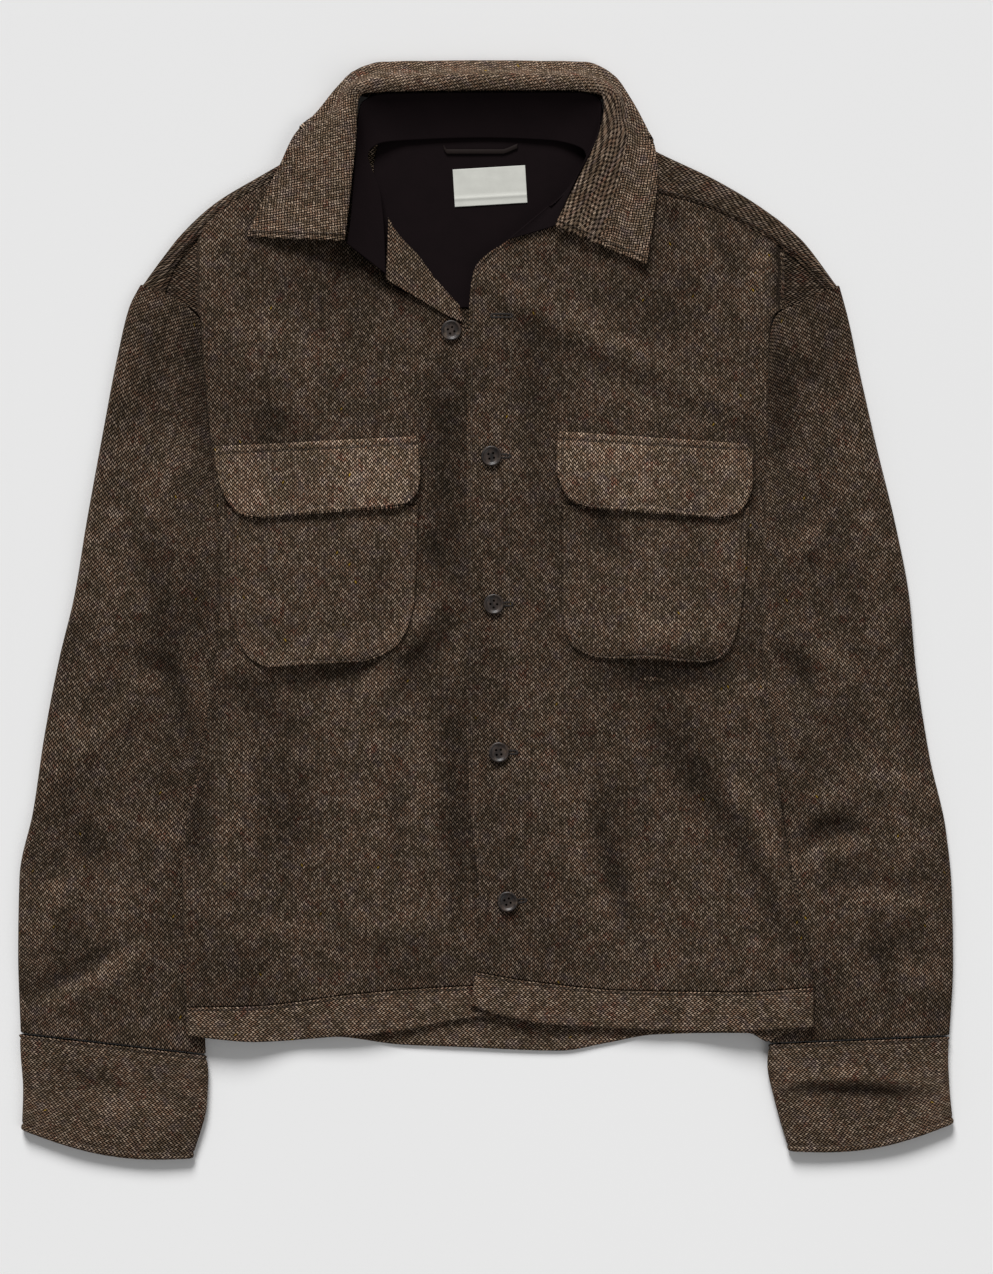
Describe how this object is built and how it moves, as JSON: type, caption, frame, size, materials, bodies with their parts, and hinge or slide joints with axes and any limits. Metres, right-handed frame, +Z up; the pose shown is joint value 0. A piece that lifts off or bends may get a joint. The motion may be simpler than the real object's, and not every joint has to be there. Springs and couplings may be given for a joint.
{
  "type": "shacket",
  "caption": "Cropped wool shirt jacket laid flat, with a turned-down collar, chest pockets with flaps, a buttoned front, cuffs and a hem band.",
  "frame": {"origin": "on the surface it lies on, at the middle of the laid garment's outline", "axes": "+Y towards the collar, +X towards the wearer's left, +Z up from the surface"},
  "size_m": [0.7457, 0.8767, 0.0244],
  "materials": {
    "tweed": "woven wool with a short nap",
    "lining": "smooth dark twill",
    "label": "woven ribbon",
    "horn": "satin, polished rim"
  },
  "bodies": {
    "root": {"front_right": "tweed", "front_left": "tweed", "hem_front_right": "tweed", "hem_front_left": "tweed", "back_panel": "tweed", "hem_back": "tweed", "yoke": "tweed", "sleeve_right": "tweed", "sleeve_left": "tweed", "cuff_right": "tweed", "cuff_left": "tweed", "facing_right": "tweed", "collar_fall": "tweed", "pocket_right": "tweed", "pocket_left": "tweed", "flap_right": "tweed", "flap_left": "tweed", "yoke_lining": "lining", "collar_stand": "lining", "hanger_loop": "lining", "neck_label": "label", "button_1": "horn", "button_2": "horn", "button_3": "horn", "button_4": "horn", "button_5": "horn"}
  },
  "joints": []
}
